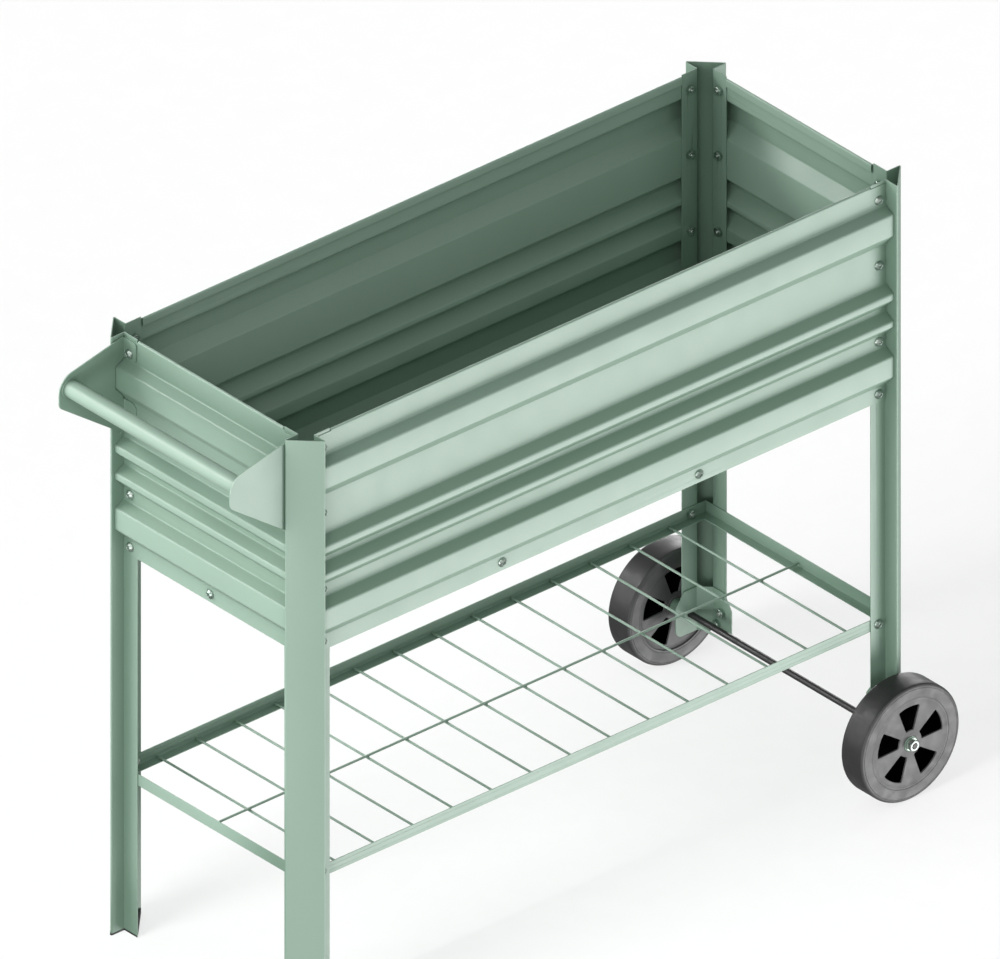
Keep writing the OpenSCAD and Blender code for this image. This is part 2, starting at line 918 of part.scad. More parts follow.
module wheel_sleeve_front() { wheel_sleeve(-1); }
module wheel_sleeve_back() { wheel_sleeve(1); }
module bolts_front_panel() { bolts(FRONT, FRONT_PLACES); }
module bolts_back_panel() { bolts(BACK, BACK_PLACES); }
module bolts_left_panel() { bolts(LEFT, LEFT_PLACES); }
module bolts_right_panel() { bolts(RIGHT, RIGHT_PLACES); }
module bolts_handle() { bolts(LEFT, HANDLE_PLACES); }
module bolts_shelf() {
    bolts(FRONT, SHELF_PLACES);
    bolts(BACK, SHELF_PLACES);
}
module bolts_bracket() { bolts(RIGHT, BRACKET_PLACES); }
module nuts_front_panel() { nuts(FRONT, FRONT_PLACES); }
module nuts_back_panel() { nuts(BACK, BACK_PLACES); }
module nuts_left_panel() { nuts(LEFT, LEFT_PLACES); }
module nuts_right_panel() { nuts(RIGHT, RIGHT_PLACES); }
module nuts_handle() { nuts(LEFT, HANDLE_PLACES); }
module nuts_shelf() {
    nuts(FRONT, SHELF_PLACES);
    nuts(BACK, SHELF_PLACES);
}
module nuts_bracket() { nuts(RIGHT, BRACKET_PLACES); }

leg_front_left();
leg_back_left();
leg_front_right();
leg_back_right();
foot_front_left();
foot_back_left();
front_panel();
back_panel();
left_panel();
right_panel();
floor_tray_left();
floor_tray_middle();
floor_tray_right();
floor_brace_left();
floor_brace_right();
handle_tube();
handle_cheek_front();
handle_cheek_back();
shelf_rail_front();
shelf_rail_back();
shelf_rail_left();
shelf_rail_right();
shelf_cross_wires();
shelf_long_wire();
axle();
axle_bracket_front();
axle_bracket_back();
axle_inner_washers();
axle_outer_washers();
axle_nuts();
wheel_front();
tyre_front();
wheel_back();
tyre_back();
wheel_sleeve_front();
wheel_sleeve_back();
bolts_front_panel();
bolts_back_panel();
bolts_left_panel();
bolts_right_panel();
bolts_handle();
bolts_shelf();
bolts_bracket();
nuts_front_panel();
nuts_back_panel();
nuts_left_panel();
nuts_right_panel();
nuts_handle();
nuts_shelf();
nuts_bracket();
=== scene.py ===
"""Raised sheet-metal planter: the looks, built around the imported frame.

The sheet-metal pieces, rails, tube and feet are the frame's own nodes, with rounded sheet
edges and a powder-coat material. Fasteners, wheels, tyres, wires and the axle are modelled
here in full and stand for their nodes. Lengths are in metres; MM turns millimetres into them.
"""
import math

import bmesh
import bpy
import numpy as np
from mathutils import Matrix, Vector, geometry


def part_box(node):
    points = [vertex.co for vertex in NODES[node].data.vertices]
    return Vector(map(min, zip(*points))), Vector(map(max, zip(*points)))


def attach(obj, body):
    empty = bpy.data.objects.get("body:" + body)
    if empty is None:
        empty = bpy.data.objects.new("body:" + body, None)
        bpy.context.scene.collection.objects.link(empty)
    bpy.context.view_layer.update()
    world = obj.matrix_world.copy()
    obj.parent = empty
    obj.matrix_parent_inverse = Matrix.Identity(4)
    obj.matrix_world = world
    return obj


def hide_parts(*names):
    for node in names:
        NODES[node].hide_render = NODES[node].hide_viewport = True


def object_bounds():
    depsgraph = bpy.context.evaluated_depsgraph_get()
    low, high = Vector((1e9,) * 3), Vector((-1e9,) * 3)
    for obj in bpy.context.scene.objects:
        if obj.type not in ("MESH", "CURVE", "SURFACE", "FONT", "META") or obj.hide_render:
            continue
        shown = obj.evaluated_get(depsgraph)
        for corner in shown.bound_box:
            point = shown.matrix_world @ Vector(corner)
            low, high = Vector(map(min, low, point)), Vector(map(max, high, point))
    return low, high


MM = 0.001
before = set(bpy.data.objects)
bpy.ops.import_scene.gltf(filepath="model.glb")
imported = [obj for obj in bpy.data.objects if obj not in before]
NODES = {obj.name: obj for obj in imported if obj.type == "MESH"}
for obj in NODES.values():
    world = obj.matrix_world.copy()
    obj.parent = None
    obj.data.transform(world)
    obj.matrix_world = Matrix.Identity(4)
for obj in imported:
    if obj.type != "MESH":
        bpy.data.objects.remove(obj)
cad_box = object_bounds()

# ---------------------------------------------------------------- driving sizes

BOLT_HEAD_R = 6.0 * MM
BOLT_HEAD_H = 4.0 * MM
BOLT_SHANK_R = 2.9 * MM
BOLT_SOCKET_R = 2.3 * MM
BOLT_SOCKET_DEPTH = 2.0 * MM
THREAD_PITCH = 1.0 * MM
THREAD_DEPTH = 0.28 * MM
NUT_FLAT = 4.93 * MM
NUT_BORE = 3.05 * MM
HUB_NUT_FLAT = 6.49 * MM
AXLE_BORE = 4.1 * MM
WASHER_EDGE = 0.25 * MM

WINDOWS = 5
WINDOW_R = (17.5 * MM, 49.0 * MM)
WINDOW_HALF = math.radians(18.5)
WINDOW_PHASE = math.radians(91.5)
WINDOW_CORNER = 1.6 * MM
HUB_R = 13.0 * MM
RIM_R = 58.0 * MM
BARREL_R = 55.0 * MM
DISC_INNER_R = HUB_R - 0.5 * MM
DISC_OUTER_R = BARREL_R + 0.8 * MM
DISC_THICKNESS = 2.5 * MM
DISC_FILLET = 0.7 * MM

# Painted shade: factors that darken and tint the powder coat's base colour where ambient occlusion
# finds recesses.
PAINTED_SHADE_TINT = (0.47, 0.54, 0.49)
TURNING_LINES = 0.9 * MM

FLOOR_SIZE = 40.0
LIGHT_DISTANCE = 4.0
CAMERA_AZIMUTH = -41.05
CAMERA_ELEVATION = 30.86
CAMERA_WIDTH = 1.149
CAMERA_AIM_SHIFT = Vector((17.5 * MM, 0, 98 * MM))


# ---------------------------------------------------------------- mesh helpers

def ring(radius, z, count):
    """Ring of points about Z; radius is a number or a function of the angle."""
    points = []
    for i in range(count):
        a = 2 * math.pi * i / count
        r = radius(a) if callable(radius) else radius
        points.append(Vector((r * math.cos(a), r * math.sin(a), z)))
    return points


def placed(rings, matrix):
    """The rings, moved by a matrix."""
    return [[matrix @ p for p in r] for r in rings]


def skin(bm, rings, closed=False):
    """Quads between rings of equal length; a ring of one point closes an end with a fan."""
    made = [[bm.verts.new(p) for p in r] for r in rings]
    pairs = list(zip(made, made[1:]))
    if closed:
        pairs.append((made[-1], made[0]))
    for low, high in pairs:
        count = max(len(low), len(high))
        for i in range(count):
            j = (i + 1) % count
            corners = [low[i % len(low)], low[j % len(low)], high[j % len(high)], high[i % len(high)]]
            face = list(dict.fromkeys(corners))
            if len(face) > 2:
                bm.faces.new(face)


def arc(centre, radius, start, stop, steps):
    """Points (r, z) of an arc in a turning profile; angles in degrees from the +r direction."""
    turns = [math.radians(start + (stop - start) * i / steps) for i in range(steps + 1)]
    return [(centre[0] + radius * math.cos(t), centre[1] + radius * math.sin(t)) for t in turns]


def turned(bm, profile, count):
    """Closed solid of revolution about Z from a closed profile of (r, z) points."""
    skin(bm, [ring(r, z, count) for r, z in profile], closed=True)


def collar(inner, outer, low, high, inner_edge, outer_edge):
    """Profile of a flat ring between two radii and two heights, with chamfered edges."""
    return [
        (inner, low + inner_edge), (inner + inner_edge, low),
        (outer - outer_edge, low), (outer, low + outer_edge),
        (outer, high - outer_edge), (outer - outer_edge, high),
        (inner + inner_edge, high), (inner, high - inner_edge),
    ]


def add_piece(name, bm, material, body, stands_for=(), sharp=35):
    """Makes the mesh a piece that rides on a body and stands for the given CAD nodes."""
    bmesh.ops.remove_doubles(bm, verts=bm.verts, dist=1e-7)
    bmesh.ops.recalc_face_normals(bm, faces=bm.faces)
    mesh = bpy.data.meshes.new(name)
    bm.to_mesh(mesh)
    bm.free()
    mesh.shade_smooth()
    mesh.set_sharp_from_angle(angle=math.radians(sharp))
    mesh.materials.append(material)
    piece = bpy.data.objects.new(name, mesh)
    bpy.context.scene.collection.objects.link(piece)
    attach(piece, body)
    if stands_for:
        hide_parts(*stands_for)


def solids(node):
    """(low, high) corners of each separate solid of a CAD node."""
    bm = bmesh.new()
    bm.from_mesh(NODES[node].data)
    bmesh.ops.remove_doubles(bm, verts=bm.verts, dist=1e-6)
    left = set(bm.verts)
    found = []
    while left:
        heap = [left.pop()]
        island = []
        while heap:
            v = heap.pop()
            island.append(v.co.copy())
            for e in v.link_edges:
                other = e.other_vert(v)
                if other in left:
                    left.remove(other)
                    heap.append(other)
        low = Vector([min(p[k] for p in island) for k in range(3)])
        high = Vector([max(p[k] for p in island) for k in range(3)])
        found.append((low, high))
    bm.free()
    return sorted(found, key=lambda b: tuple(round(x, 5) for x in b[0]))


def centre_of(low, high):
    return (low + high) / 2


def outward_of(point):
    """Outward direction of the panel plane nearest to a point."""
    walls = {
        Vector((0, -1, 0)).freeze(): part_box("front_panel")[0].y,
        Vector((0, 1, 0)).freeze(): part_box("back_panel")[1].y,
        Vector((-1, 0, 0)).freeze(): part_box("left_panel")[0].x,
        Vector((1, 0, 0)).freeze(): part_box("right_panel")[1].x,
    }
    return min(walls, key=lambda n: abs(point.dot(n) - walls[n] * (n.x + n.y))).copy()


def looking_along(direction, origin):
    """Matrix that puts local Z along a direction, with local X level or up."""
    z = direction.normalized()
    x = Vector((0, 0, 1)).cross(z)
    x = x.normalized() if x.length > 1e-6 else Vector((1, 0, 0))
    y = z.cross(x)
    m = Matrix((x, y, z)).transposed().to_4x4()
    m.translation = origin
    return m


def along_y(low, high):
    """Matrix that puts local Z along +Y, from the middle of a box's low Y side."""
    start = centre_of(low, high)
    start.y = low.y
    return looking_along(Vector((0, 1, 0)), start)


# ---------------------------------------------------------------- materials

class Shader:
    """A material's node tree with a Principled surface."""

    def __init__(self, name):
        self.material = bpy.data.materials.new(name)
        self.material.use_nodes = True
        self.tree = self.material.node_tree
        self.tree.nodes.clear()
        out = self.tree.nodes.new("ShaderNodeOutputMaterial")
        self.surface = self.tree.nodes.new("ShaderNodeBsdfPrincipled")
        self.tree.links.new(self.surface.outputs[0], out.inputs["Surface"])
        self.place = self.add("ShaderNodeTexCoord").outputs["Object"]

    def add(self, kind, inputs=None, **settings):
        node = self.tree.nodes.new(kind)
        for key, value in settings.items():
            setattr(node, key, value)
        for key, value in (inputs or {}).items():
            self.feed(node.inputs[key], value)
        return node

    def feed(self, socket, value):
        if isinstance(value, bpy.types.NodeSocket):
            self.tree.links.new(value, socket)
        else:
            socket.default_value = value

    def noise(self, size, detail=3.0, rough=0.5, distort=0.0):
        """Noise whose features are about size metres across."""
        made = self.add("ShaderNodeTexNoise", {
            "Vector": self.place, "Scale": 1 / size, "Detail": detail,
            "Roughness": rough, "Distortion": distort,
        })
        return made.outputs["Fac"]

    def between(self, fac, low, high, start=0.0, stop=1.0):
        """Maps start..stop to low..high, clamped."""
        made = self.add("ShaderNodeMapRange", {
            "Value": fac, "From Min": start, "From Max": stop, "To Min": low, "To Max": high,
        })
        return made.outputs["Result"]

    def clouds(self, size, low, high, *look):
        """Noise of a size that runs between two values, clearly enough to see both."""
        return self.between(self.noise(size, *look), low, high, 0.3, 0.7)

    def calc(self, operation, *values):
        """Result of a Math node."""
        return self.add("ShaderNodeMath", dict(enumerate(values)), operation=operation).outputs[0]

    def mix(self, fac, a, b):
        made = self.add("ShaderNodeMix", data_type="RGBA")
        for key, value in ((0, fac), (6, a), (7, b)):
            self.feed(made.inputs[key], value)
        return made.outputs[2]

    def bump(self, height, depth, strength=1.0, under=None):
        made = self.add("ShaderNodeBump", {"Height": height, "Distance": depth, "Strength": strength})
        if under is not None:
            self.feed(made.inputs["Normal"], under)
        return made.outputs["Normal"]

    def edges(self, width):
        """1 on edges narrower than width, 0 on open faces."""
        soft = self.add("ShaderNodeBevel", {"Radius": width}, samples=4).outputs["Normal"]
        flat = self.add("ShaderNodeNewGeometry").outputs["Normal"]
        dot = self.add("ShaderNodeVectorMath", {0: soft, 1: flat}, operation="DOT_PRODUCT")
        return self.between(dot.outputs["Value"], 1.0, 0.0, 0.75, 0.99)

    def open_air(self, reach):
        """1 where nothing stands within reach of the surface, towards 0 in corners."""
        return self.add("ShaderNodeAmbientOcclusion", {"Distance": reach}, samples=8).outputs["AO"]

    def set(self, **sockets):
        for key, value in sockets.items():
            self.feed(self.surface.inputs[key.replace("_", " ")], value)
        return self.material


def colour(r, g, b):
    return (r, g, b, 1.0)


def grey(value):
    return colour(value, value, value)


def shade(tone, factor, lift=0.0):
    """A tone made darker or lighter by a factor, then lifted."""
    return colour(*[min(1.0, c * factor + lift) for c in tone])


def powder_coat(name, tone, gloss):
    """Semi-gloss powder coat with orange peel, cloudy tone, thin edges and painted shade in its
    recesses.
    """
    s = Shader(name)
    body = s.mix(s.clouds(90 * MM, 0.0, 1.0, 2.0), shade(tone, 0.985), shade(tone, 1.012))
    speck = s.between(s.noise(1.6 * MM, 1.0), 0.0, 0.10, 0.60, 0.75)
    body = s.mix(speck, body, shade(tone, 0.80))
    patchy = s.between(s.noise(7 * MM), 0.1, 0.55, 0.35, 0.75)
    worn = s.calc("MULTIPLY", s.edges(0.9 * MM), patchy)
    body = s.mix(worn, body, shade(tone, 1.25, 0.03))
    # Painted shade: ambient occlusion within 110 mm darkens and tints the base colour in recesses,
    # corners and under parts.
    painted_recess_shade = s.between(s.open_air(110 * MM), 0.18, 1.0, 0.60, 1.0)
    body = s.mix(painted_recess_shade, colour(*[c * d for c, d in zip(tone, PAINTED_SHADE_TINT)]), body)
    peel = s.bump(s.noise(2.4 * MM, 2.0, 0.45), 0.05 * MM, 0.5)
    grain = s.bump(s.noise(0.5 * MM, 1.0), 0.008 * MM, 0.4, peel)
    rough = s.clouds(35 * MM, gloss - 0.02, gloss + 0.03)
    return s.set(Base_Color=body, Roughness=rough, Normal=grain)


def moulded_plastic(name, tone, gloss, grain_size, grain_depth, shine=0.5):
    """Injection-moulded plastic: fine spark texture, faint flow clouds, rubbed edges."""
    s = Shader(name)
    flow = s.clouds(30 * MM, 0.0, 1.0, 4.0, 0.55, 1.2)
    body = s.mix(flow, shade(tone, 0.90), shade(tone, 1.10))
    patchy = s.between(s.noise(5 * MM), 0.0, 0.6, 0.4, 0.8)
    rubbed = s.calc("MULTIPLY", s.edges(0.8 * MM), patchy)
    body = s.mix(rubbed, body, shade(tone, 1.7))
    spark = s.bump(s.noise(grain_size, 2.0, 0.6), grain_depth, 0.7)
    rough = s.clouds(12 * MM, gloss - 0.06, gloss + 0.08)
    return s.set(Base_Color=body, Roughness=rough, Normal=spark, Specular_IOR_Level=shine)


def tyre_rubber(name, wall_tone, shaded_tread_tone):
    """Solid tyre: matt, with painted shade that makes the tread darker than the walls, faint turning
    lines and a dusty bloom.
    """
    s = Shader(name)
    bloom = s.between(s.noise(25 * MM, 5.0, 0.6), 0.0, 1.0, 0.35, 0.75)
    walls = s.mix(bloom, shade(wall_tone, 0.88), shade(wall_tone, 1.14))
    tread = s.mix(bloom, shade(shaded_tread_tone, 0.80), shade(shaded_tread_tone, 1.20))
    outward = s.add("ShaderNodeNewGeometry").outputs["True Normal"]
    across = s.calc("ABSOLUTE", s.add("ShaderNodeSeparateXYZ", {0: outward}).outputs["Y"])
    # Painted shade: a mask from the face normal gives the tread faces a darker copy of the rubber
    # tone than the walls.
    body = s.mix(s.between(across, 0.0, 1.0, 0.25, 0.75), tread, walls)
    depth = s.add("ShaderNodeSeparateXYZ", {0: s.place}).outputs["Y"]
    lines = s.calc("SINE", s.calc("MULTIPLY", depth, 2 * math.pi / TURNING_LINES))
    turned_lines = s.bump(lines, 0.006 * MM, 0.35)
    grain = s.bump(s.noise(0.8 * MM, 2.0, 0.6), 0.03 * MM, 0.6, turned_lines)
    rough = s.clouds(14 * MM, 0.40, 0.54)
    return s.set(Base_Color=body, Roughness=rough, Normal=grain)


def bright_zinc(name):
    """Zinc-plated steel: fine marks, a passivated bloom, and each fastener a little different."""
    s = Shader(name)
    bloom = s.clouds(6 * MM, 0.0, 1.0)
    body = s.mix(bloom, colour(0.45, 0.53, 0.48), colour(0.60, 0.67, 0.62))
    each = s.add("ShaderNodeNewGeometry").outputs["Random Per Island"]
    body = s.mix(s.between(each, 0.0, 0.7, 0.3, 0.9), body, colour(0.30, 0.39, 0.34))
    marks = s.bump(s.noise(0.35 * MM, 2.0, 0.7), 0.006 * MM, 0.5)
    rough = s.clouds(3 * MM, 0.33, 0.45)
    return s.set(Base_Color=body, Metallic=1.0, Roughness=rough, Normal=marks)


def black_coat(name):
    """Thin black paint on drawn rod, with lengthwise draw marks."""
    s = Shader(name)
    stretched = s.add("ShaderNodeMapping", {"Vector": s.place, "Scale": (1.0, 0.03, 1.0)})
    draw = s.add("ShaderNodeTexNoise", {
        "Vector": stretched.outputs[0], "Scale": 1 / (0.7 * MM), "Detail": 2.0,
    }).outputs["Fac"]
    body = s.mix(s.noise(20 * MM), grey(0.014), grey(0.028))
    rough = s.clouds(15 * MM, 0.34, 0.48)
    return s.set(Base_Color=body, Roughness=rough, Normal=s.bump(draw, 0.02 * MM, 0.4))


GREEN = powder_coat("green_powder_coat", (0.335, 0.470, 0.380), 0.40)
INSIDE = powder_coat("inside_powder_coat", (0.300, 0.430, 0.345), 0.46)
WHEEL = moulded_plastic("wheel_plastic", (0.098, 0.098, 0.099), 0.50, 0.5 * MM, 0.02 * MM)
FOOT = moulded_plastic("foot_plastic", (0.020, 0.020, 0.020), 0.45, 0.6 * MM, 0.03 * MM)
RUBBER = tyre_rubber("tyre_rubber", (0.080, 0.080, 0.081), (0.026, 0.026, 0.026))
ZINC = bright_zinc("bright_zinc")
ROD = black_coat("black_rod_coat")
# Painted shade: near-black plastic without shine that lines the wheel's inside so its windows read as
# shadow.
SHADE_LINING_BLACK = moulded_plastic("wheel_core_plastic", (0.002, 0.002, 0.002), 0.85, 0.8 * MM, 0.02 * MM, 0.0)


# ---------------------------------------------------------------- sheet-metal nodes

def weld_and_smooth():
    """Geometry nodes that join the imported facets and smooth all but the sharp edges."""
    group = bpy.data.node_groups.new("weld_and_smooth", "GeometryNodeTree")
    group.interface.new_socket("Geometry", in_out="INPUT", socket_type="NodeSocketGeometry")
    group.interface.new_socket("Geometry", in_out="OUTPUT", socket_type="NodeSocketGeometry")
    entry = group.nodes.new("NodeGroupInput")
    leave = group.nodes.new("NodeGroupOutput")
    merge = group.nodes.new("GeometryNodeMergeByDistance")
    merge.inputs["Distance"].default_value = 0.002 * MM
    smooth = group.nodes.new("GeometryNodeSetShadeSmooth")
    smooth.domain = "FACE"
    crease = group.nodes.new("GeometryNodeSetShadeSmooth")
    crease.domain = "EDGE"
    crease.inputs["Shade Smooth"].default_value = False
    angle = group.nodes.new("GeometryNodeInputMeshEdgeAngle")
    sharp = group.nodes.new("FunctionNodeCompare")
    sharp.data_type = "FLOAT"
    sharp.operation = "GREATER_THAN"
    sharp.inputs[1].default_value = math.radians(32)
    group.links.new(entry.outputs[0], merge.inputs["Geometry"])
    group.links.new(merge.outputs["Geometry"], smooth.inputs["Geometry"])
    group.links.new(smooth.outputs["Geometry"], crease.inputs["Geometry"])
    group.links.new(angle.outputs["Unsigned Angle"], sharp.inputs[0])
    group.links.new(sharp.outputs["Result"], crease.inputs["Selection"])
    group.links.new(crease.outputs["Geometry"], leave.inputs[0])
    return group


WELD_AND_SMOOTH = weld_and_smooth()


def dress(node, material, edge):
    """Gives a CAD node its material and rounds its sharp edges by edge metres."""
    o = NODES[node]
    o.data.materials.clear()
    o.data.materials.append(material)
    normals = o.data.attributes.get("custom_normal")
    if normals:
        o.data.attributes.remove(normals)
    join = o.modifiers.new("weld", "NODES")
    join.node_group = WELD_AND_SMOOTH
    bevel = o.modifiers.new("edge", "BEVEL")
    bevel.width = edge
    bevel.segments = 2
    bevel.limit_method = "ANGLE"
    bevel.angle_limit = math.radians(50)
    bevel.use_clamp_overlap = True
    bevel.harden_normals = True


def dress_sheet_metal():
    """Finishes the CAD nodes that are shown as they are."""
    corners = [f"{side}_{end}" for side in ("front", "back") for end in ("left", "right")]
    for corner in corners:
        dress(f"leg_{corner}", GREEN, 0.30 * MM)
    for wall in ("front", "back", "left", "right"):
        dress(f"{wall}_panel", GREEN, 0.20 * MM)
        dress(f"shelf_rail_{wall}", GREEN, 0.30 * MM)
    for side in ("front", "back"):
        dress(f"handle_cheek_{side}", GREEN, 0.40 * MM)
        dress(f"axle_bracket_{side}", GREEN, 0.40 * MM)
        dress(f"foot_{side}_left", FOOT, 0.45 * MM)
    for third in ("left", "middle", "right"):
        dress(f"floor_tray_{third}", INSIDE, 0.20 * MM)
    for side in ("left", "right"):
        dress(f"floor_brace_{side}", INSIDE, 0.30 * MM)
    for side in ("front", "back"):
        dress(f"wheel_sleeve_{side}", GREEN, 0.50 * MM)
    dress("handle_tube", GREEN, 0.20 * MM)


# ---------------------------------------------------------------- fasteners

def hexagon(flat):
    """Radius of a hexagon at an angle, flat being the distance from its centre to a side."""
    return lambda a: flat / math.cos((a + math.pi / 6) % (math.pi / 3) - math.pi / 6)


def threaded(radius, z):
    """Radius of a screw thread at an angle, for a point z along it."""
    def at(a):
        phase = 2 * math.pi * z / THREAD_PITCH - a
        return radius - THREAD_DEPTH * (0.5 + 0.5 * math.cos(phase))
    return at


def button_bolt(bm, matrix, length):
    """Domed socket bolt along local Z: the tip at 0, the top of the head at length."""
    seat = length - BOLT_HEAD_H
    socket = BOLT_SOCKET_R * math.cos(math.pi / 6)
    count = 36
    rings = [[Vector((0, 0, 0))], ring(BOLT_SHANK_R - 0.6 * MM, 0, count)]
    steps = 18
    for i in range(steps + 1):
        z = 0.3 * MM + 2.2 * MM * i / steps
        rings.append(ring(threaded(BOLT_SHANK_R, z), z, count))
    rings.append(ring(BOLT_SHANK_R, 2.8 * MM, count))
    rings.append(ring(BOLT_SHANK_R, seat, count))
    rings.append(ring(BOLT_HEAD_R - 0.35 * MM, seat, count))
    rings.append(ring(BOLT_HEAD_R - 0.08 * MM, seat + 0.12 * MM, count))
    rings.append(ring(BOLT_HEAD_R, seat + 0.40 * MM, count))
    rim = 0.7 * MM
    for i in range(8):
        t = i / 7
        r = BOLT_HEAD_R + (BOLT_SOCKET_R + 0.55 * MM - BOLT_HEAD_R) * math.sin(t * math.pi / 2) ** 1.5
        z = seat + rim + (BOLT_HEAD_H - rim) * math.sin(t * math.pi / 2)
        rings.append(ring(r, z, count))
    rings.append(ring(lambda a: (hexagon(socket)(a) + socket * 1.4) / 2, length - 0.12 * MM, count))
    rings.append(ring(hexagon(socket), length - 0.35 * MM, count))
    rings.append(ring(hexagon(socket), length - BOLT_SOCKET_DEPTH, count))
    rings.append([Vector((0, 0, length - BOLT_SOCKET_DEPTH - 0.5 * MM))])
    skin(bm, placed(rings, matrix))


def hex_nut(bm, matrix, flat, bore, height):
    """Chamfered hexagon nut along local Z from 0 to height."""
    count = 48
    corner = flat / math.cos(math.pi / 6)
    face = flat * 0.94
    chamfer = (corner - face) * 0.62
    shape = hexagon(flat)
    levels = [i / 5 for i in range(6)]

    def cut(depth):
        limit = face + (corner - face) * depth
        return lambda a: min(shape(a), limit)

    rings = [ring(bore, 0.3 * MM, count), ring(bore + 0.35 * MM, 0, count), ring(face, 0, count)]
    rings += [ring(cut(t), chamfer * t, count) for t in levels[1:]]
    rings += [ring(cut(t), height - chamfer * t, count) for t in reversed(levels[1:])]
    rings += [ring(face, height, count), ring(bore + 0.35 * MM, height, count),
              ring(bore, height - 0.3 * MM, count)]
    skin(bm, placed(rings, matrix), closed=True)


def make_fastener(kind, place):
    """Bolts or nuts of one panel or joint, one for each solid of their CAD node."""
    node = f"{kind}_{place}"
    bm = bmesh.new()
    for low, high in solids(node):
        middle = centre_of(low, high)
        out = outward_of(middle)
        length = abs((high - low).dot(out))
        matrix = looking_along(out, middle - out * length / 2)
        if kind == "bolts":
            button_bolt(bm, matrix, length)
        else:
            hex_nut(bm, matrix, NUT_FLAT, NUT_BORE, length)
    add_piece(f"{place}_{kind}", bm, ZINC, "frame", [node])


def make_fasteners():
    """Bolts and nuts of every panel and joint."""
    walls = ("front_panel", "back_panel", "left_panel", "right_panel")
    for place in walls + ("handle", "shelf", "bracket"):
        make_fastener("bolts", place)
        make_fastener("nuts", place)


# ---------------------------------------------------------------- handle welds

def weld_bead(bm, centre, axis, radius, bead, ripples):
    """Rippled fillet weld round a tube end."""
    rings = []
    for k in range(8):
        t = 2 * math.pi * k / 8

        def r_at(a, t=t):
            ripple = 1 + 0.10 * math.cos(ripples * a) + 0.05 * math.sin(3 * a + 1)
            return radius + bead * ripple * 0.62 * (1 + math.cos(t)) - 0.3 * MM

        rings.append(ring(r_at, bead * 0.62 * math.sin(t), 120))
    skin(bm, placed(rings, looking_along(axis, centre)), closed=True)


def make_handle_welds():
    low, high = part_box("handle_tube")
    middle = centre_of(low, high)
    radius = (high.z - low.z) / 2
    bm = bmesh.new()
    for side in (-1, 1):
        end = Vector((middle.x, middle.y + side * (high.y - low.y) / 2, middle.z))
        weld_bead(bm, end, Vector((0, side, 0)), radius, 1.6 * MM, 34)
    add_piece("handle_welds", bm, GREEN, "frame", sharp=80)


# ---------------------------------------------------------------- shelf wires

def wire(bm, start, stop, radius):
    """Round wire whose last few millimetres are pressed flat where it is welded down."""
    matrix = looking_along(stop - start, start)
    length = (stop - start).length
    press = 9 * MM
    near_end = [0, 1.5 * MM, 4 * MM, press]
    flat_x = abs(matrix.col[0].z) > 0.5
    rings = [[Vector((0, 0, 0))]]
    for z in near_end + [length - x for x in reversed(near_end)]:
        near = min(z, length - z)
        squash = 0.72 + 0.28 * min(1.0, near / press)
        r = radius * (0.86 if near == 0 else 1.0)
        x_scale, y_scale = (squash, 1) if flat_x else (1, squash)
        rings.append([Vector((p.x * x_scale, p.y * y_scale, p.z)) for p in ring(r, z, 16)])
    rings.append([Vector((0, 0, length))])
    skin(bm, placed(rings, matrix))


def nugget(bm, centre, size, squat):
    """Small flattened weld spot."""
    rings = []
    for i in range(1, 6):
        t = math.pi * i / 6
        wobble = 1 + 0.06 * math.sin(5 * t + centre.x * 90)
        rings.append([centre + Vector((p.x, p.y, 0)) + Vector((0, 0, squat * math.cos(t)))
                      for p in ring(size * wobble * math.sin(t), 0, 14)])
    rings.insert(0, [centre + Vector((0, 0, squat))])
    rings.append([centre - Vector((0, 0, squat))])
    skin(bm, rings)


def make_cross_wires(spots):
    """Cross wires, with a weld spot at each end; gives back the tops of their middles."""
    bm = bmesh.new()
    tops = []
    for low, high in solids("shelf_cross_wires"):
        middle = centre_of(low, high)
        start = Vector((middle.x, low.y, middle.z))
        stop = Vector((middle.x, high.y, middle.z))
        wire(bm, start, stop, (high.z - low.z) / 2)
        tops.append(Vector((middle.x, 0, high.z)))
        for y in (low.y + 5 * MM, high.y - 5 * MM):
            nugget(spots, Vector((middle.x, y, low.z + 0.5 * MM)), 2.4 * MM, 0.9 * MM)
    add_piece("cross_wires", bm, GREEN, "frame", ["shelf_cross_wires"])
    return tops


def make_long_wire():
    low, high = solids("shelf_long_wire")[0]
    middle = centre_of(low, high)
    start = Vector((low.x, middle.y, middle.z))
    stop = Vector((high.x, middle.y, middle.z))
    bm = bmesh.new()
    wire(bm, start, stop, (high.z - low.z) / 2)
    add_piece("long_wire", bm, GREEN, "frame", ["shelf_long_wire"])


def make_shelf_wires():
    spots = bmesh.new()
    tops = make_cross_wires(spots)
    make_long_wire()
    for point in tops:
        nugget(spots, point, 2.1 * MM, 0.8 * MM)
    add_piece("shelf_welds", spots, GREEN, "frame", sharp=80)


# ---------------------------------------------------------------- axle

def make_axle():
    """Drawn rod with a screw thread cut on each end."""
    low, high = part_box("axle")
    radius = (high.z - low.z) / 2
    length = high.y - low.y
    chamfer = 0.8 * MM
    thread = 6.5 * MM
    runout = thread + 0.8 * MM
    count = 48
    turns = [chamfer + (thread - chamfer) * i / 39 for i in range(40)]
    rings = [[Vector((0, 0, 0))], ring(radius - chamfer, 0, count)]
    rings += [ring(threaded(radius, z), z, count) for z in turns]
    rings += [ring(radius, z, count) for z in (runout, length - runout)]
    rings += [ring(threaded(radius, length - z), length - z, count) for z in reversed(turns)]
    rings += [ring(radius - chamfer, length, count), [Vector((0, 0, length))]]
    bm = bmesh.new()
    skin(bm, placed(rings, along_y(low, high)))
    add_piece("axle_rod", bm, ROD, "frame", ["axle"])


